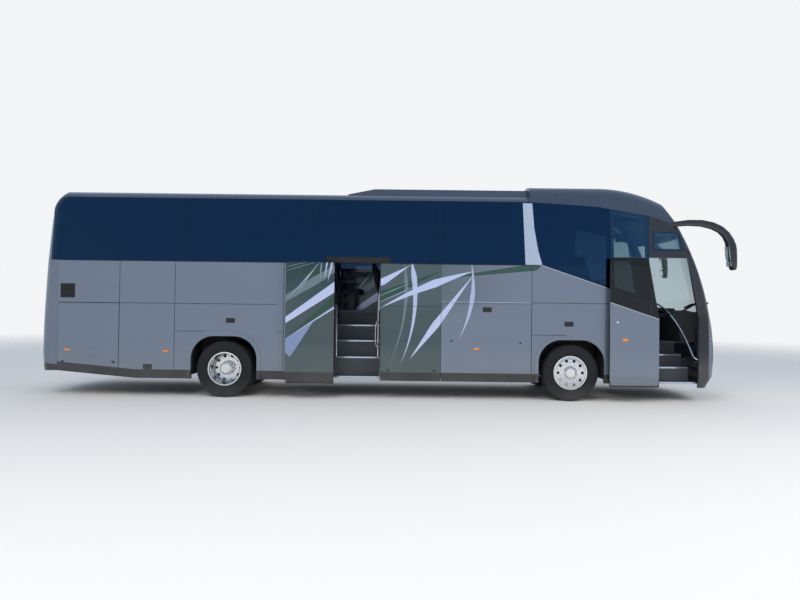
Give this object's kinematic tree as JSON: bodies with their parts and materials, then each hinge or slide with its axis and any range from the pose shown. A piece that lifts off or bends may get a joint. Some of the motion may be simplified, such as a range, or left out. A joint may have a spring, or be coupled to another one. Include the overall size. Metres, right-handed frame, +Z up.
{
  "type": "coach bus",
  "caption": "Long-distance coach with two open outswing doors on its right side, twin rear wheels, luggage hold flaps, roof unit and a hollow glazed cabin.",
  "frame": {"origin": "on the ground under the middle of the overall box", "axes": "+X forward, +Y to the vehicle's left, +Z up"},
  "size_m": [12.69, 2.98, 3.9606],
  "materials": {
    "blade": "brushed silver",
    "cast": "cast",
    "cloth": "woven seat cloth",
    "floor": "ribbed floor covering",
    "frame_steel": "black painted steel",
    "glass": "tinted glass",
    "lamp": "clear lamp lens",
    "paint": "metallic silver blue paint",
    "plastic": "moulded plastic",
    "red_lamp": "red lamp lens",
    "rim": "polished alloy",
    "trim": "gloss moulding",
    "tyre": "tyre rubber"
  },
  "bodies": {
    "body": {"chassis_frame": "frame_steel", "dashboard": "plastic", "driver_seat": "cloth", "engine_block": "cast", "entrance_stairs": "floor", "front_axle": "cast", "front_mask": "paint", "headlamps": "lamp", "luggage_hold": "floor", "luggage_racks": "trim", "mirrors": "trim", "passenger_floor": "floor", "passenger_seats": "cloth", "post_brackets": "frame_steel", "rear_axle": "cast", "rear_mask": "paint", "rear_window": "glass", "roof_hatches": "trim", "roof_shell": "trim", "roof_unit": "trim", "side_blades": "blade", "side_glass": "glass", "side_wall_left": "paint", "side_wall_right": "paint", "steering_wheel": "plastic", "tail_lamps": "red_lamp", "wheel_housings": "frame_steel", "window_frames": "frame_steel", "windscreen": "glass", "windscreen_frame": "frame_steel", "wipers": "plastic"},
    "knuckle_right": {"knuckle_right": "cast"},
    "knuckle_left": {"knuckle_left": "cast"},
    "front_wheel_right": {"front_tyre_right": "tyre", "front_rim_right": "rim"},
    "front_wheel_left": {"front_tyre_left": "tyre", "front_rim_left": "rim"},
    "rear_wheels_right": {"rear_tyres_right": "tyre", "rear_rims_right": "rim"},
    "rear_wheels_left": {"rear_tyres_left": "tyre", "rear_rims_left": "rim"},
    "front_door": {"front_door": "paint", "front_door_glass": "glass"},
    "front_door_arm": {"front_door_arm": "frame_steel"},
    "middle_door": {"middle_door": "paint"},
    "middle_door_arm": {"middle_door_arm": "frame_steel"},
    "engine_hood": {"engine_hood": "paint"},
    "flap_engine_right": {"flap_engine_right": "paint"},
    "flap_engine_left": {"flap_engine_left": "paint"},
    "flap_hold_rear_right": {"flap_hold_rear_right": "paint"},
    "flap_hold_rear_left": {"flap_hold_rear_left": "paint"},
    "flap_hold_front_right": {"flap_hold_front_right": "paint"},
    "flap_hold_front_left": {"flap_hold_front_left": "paint"}
  },
  "joints": [
    {"name": "steer_right", "type": "hinge", "parent": "body", "child": "knuckle_right", "pos_m": [3.424, -0.968, 0.52], "axis": [0, 0, 1], "range_deg": [-40, 40]},
    {"name": "spin_front_right", "type": "hinge", "parent": "knuckle_right", "child": "front_wheel_right", "pos_m": [3.424, -1.098, 0.52], "axis": [0, 1, 0], "continuous": true},
    {"name": "spin_rear_right", "type": "hinge", "parent": "body", "child": "rear_wheels_right", "pos_m": [-2.898, -1.098, 0.52], "axis": [0, 1, 0], "continuous": true},
    {"name": "steer_left", "type": "hinge", "parent": "body", "child": "knuckle_left", "pos_m": [3.424, 0.968, 0.52], "axis": [0, 0, 1], "range_deg": [-40, 40]},
    {"name": "spin_front_left", "type": "hinge", "parent": "knuckle_left", "child": "front_wheel_left", "pos_m": [3.424, 1.098, 0.52], "axis": [0, 1, 0], "continuous": true},
    {"name": "spin_rear_left", "type": "hinge", "parent": "body", "child": "rear_wheels_left", "pos_m": [-2.898, 1.098, 0.52], "axis": [0, 1, 0], "continuous": true},
    {"name": "front_door_arm_turn", "type": "hinge", "parent": "body", "child": "front_door_arm", "pos_m": [4.89, -1.1, 1], "axis": [0, 0, 1], "range_deg": [0, 133.33]},
    {"name": "front_door_turn", "type": "hinge", "parent": "front_door_arm", "child": "front_door", "pos_m": [4.53554, -1.33, 1], "axis": [0, 0, 1], "range_deg": [-133.34, 0]},
    {"name": "middle_door_arm_turn", "type": "hinge", "parent": "body", "child": "middle_door_arm", "pos_m": [-0.893, -1.1, 1], "axis": [0, 0, 1], "range_deg": [0, 136.25]},
    {"name": "middle_door_turn", "type": "hinge", "parent": "middle_door_arm", "child": "middle_door", "pos_m": [-1.27791, -1.33, 1], "axis": [0, 0, 1], "range_deg": [-136.26, 0]},
    {"name": "flap_engine_right_hinge", "type": "hinge", "parent": "body", "child": "flap_engine_right", "pos_m": [-5.373, -1.267, 1.6899], "axis": [-1, 0, 0], "range_deg": [0, 85]},
    {"name": "flap_engine_left_hinge", "type": "hinge", "parent": "body", "child": "flap_engine_left", "pos_m": [-5.373, 1.267, 1.6899], "axis": [1, 0, 0], "range_deg": [0, 85]},
    {"name": "flap_hold_rear_right_hinge", "type": "hinge", "parent": "body", "child": "flap_hold_rear_right", "pos_m": [0.507, -1.267, 1.6999], "axis": [-1, 0, 0], "range_deg": [0, 85]},
    {"name": "flap_hold_rear_left_hinge", "type": "hinge", "parent": "body", "child": "flap_hold_rear_left", "pos_m": [0.507, 1.267, 1.6999], "axis": [1, 0, 0], "range_deg": [0, 85]},
    {"name": "flap_hold_front_right_hinge", "type": "hinge", "parent": "body", "child": "flap_hold_front_right", "pos_m": [1.871, -1.267, 1.7649], "axis": [-1, 0, 0], "range_deg": [0, 85]},
    {"name": "flap_hold_front_left_hinge", "type": "hinge", "parent": "body", "child": "flap_hold_front_left", "pos_m": [1.871, 1.267, 1.7649], "axis": [1, 0, 0], "range_deg": [0, 85]},
    {"name": "engine_hood_hinge", "type": "hinge", "parent": "body", "child": "engine_hood", "pos_m": [-6.293, 0, 1.88], "axis": [0, 1, 0], "range_deg": [0, 75]}
  ],
  "couplings": [
    {"joint": "steer_right", "follows": "steer_left", "ratio": 1},
    {"joint": "front_door_turn", "follows": "front_door_arm_turn", "ratio": -1},
    {"joint": "middle_door_turn", "follows": "middle_door_arm_turn", "ratio": -1}
  ]
}
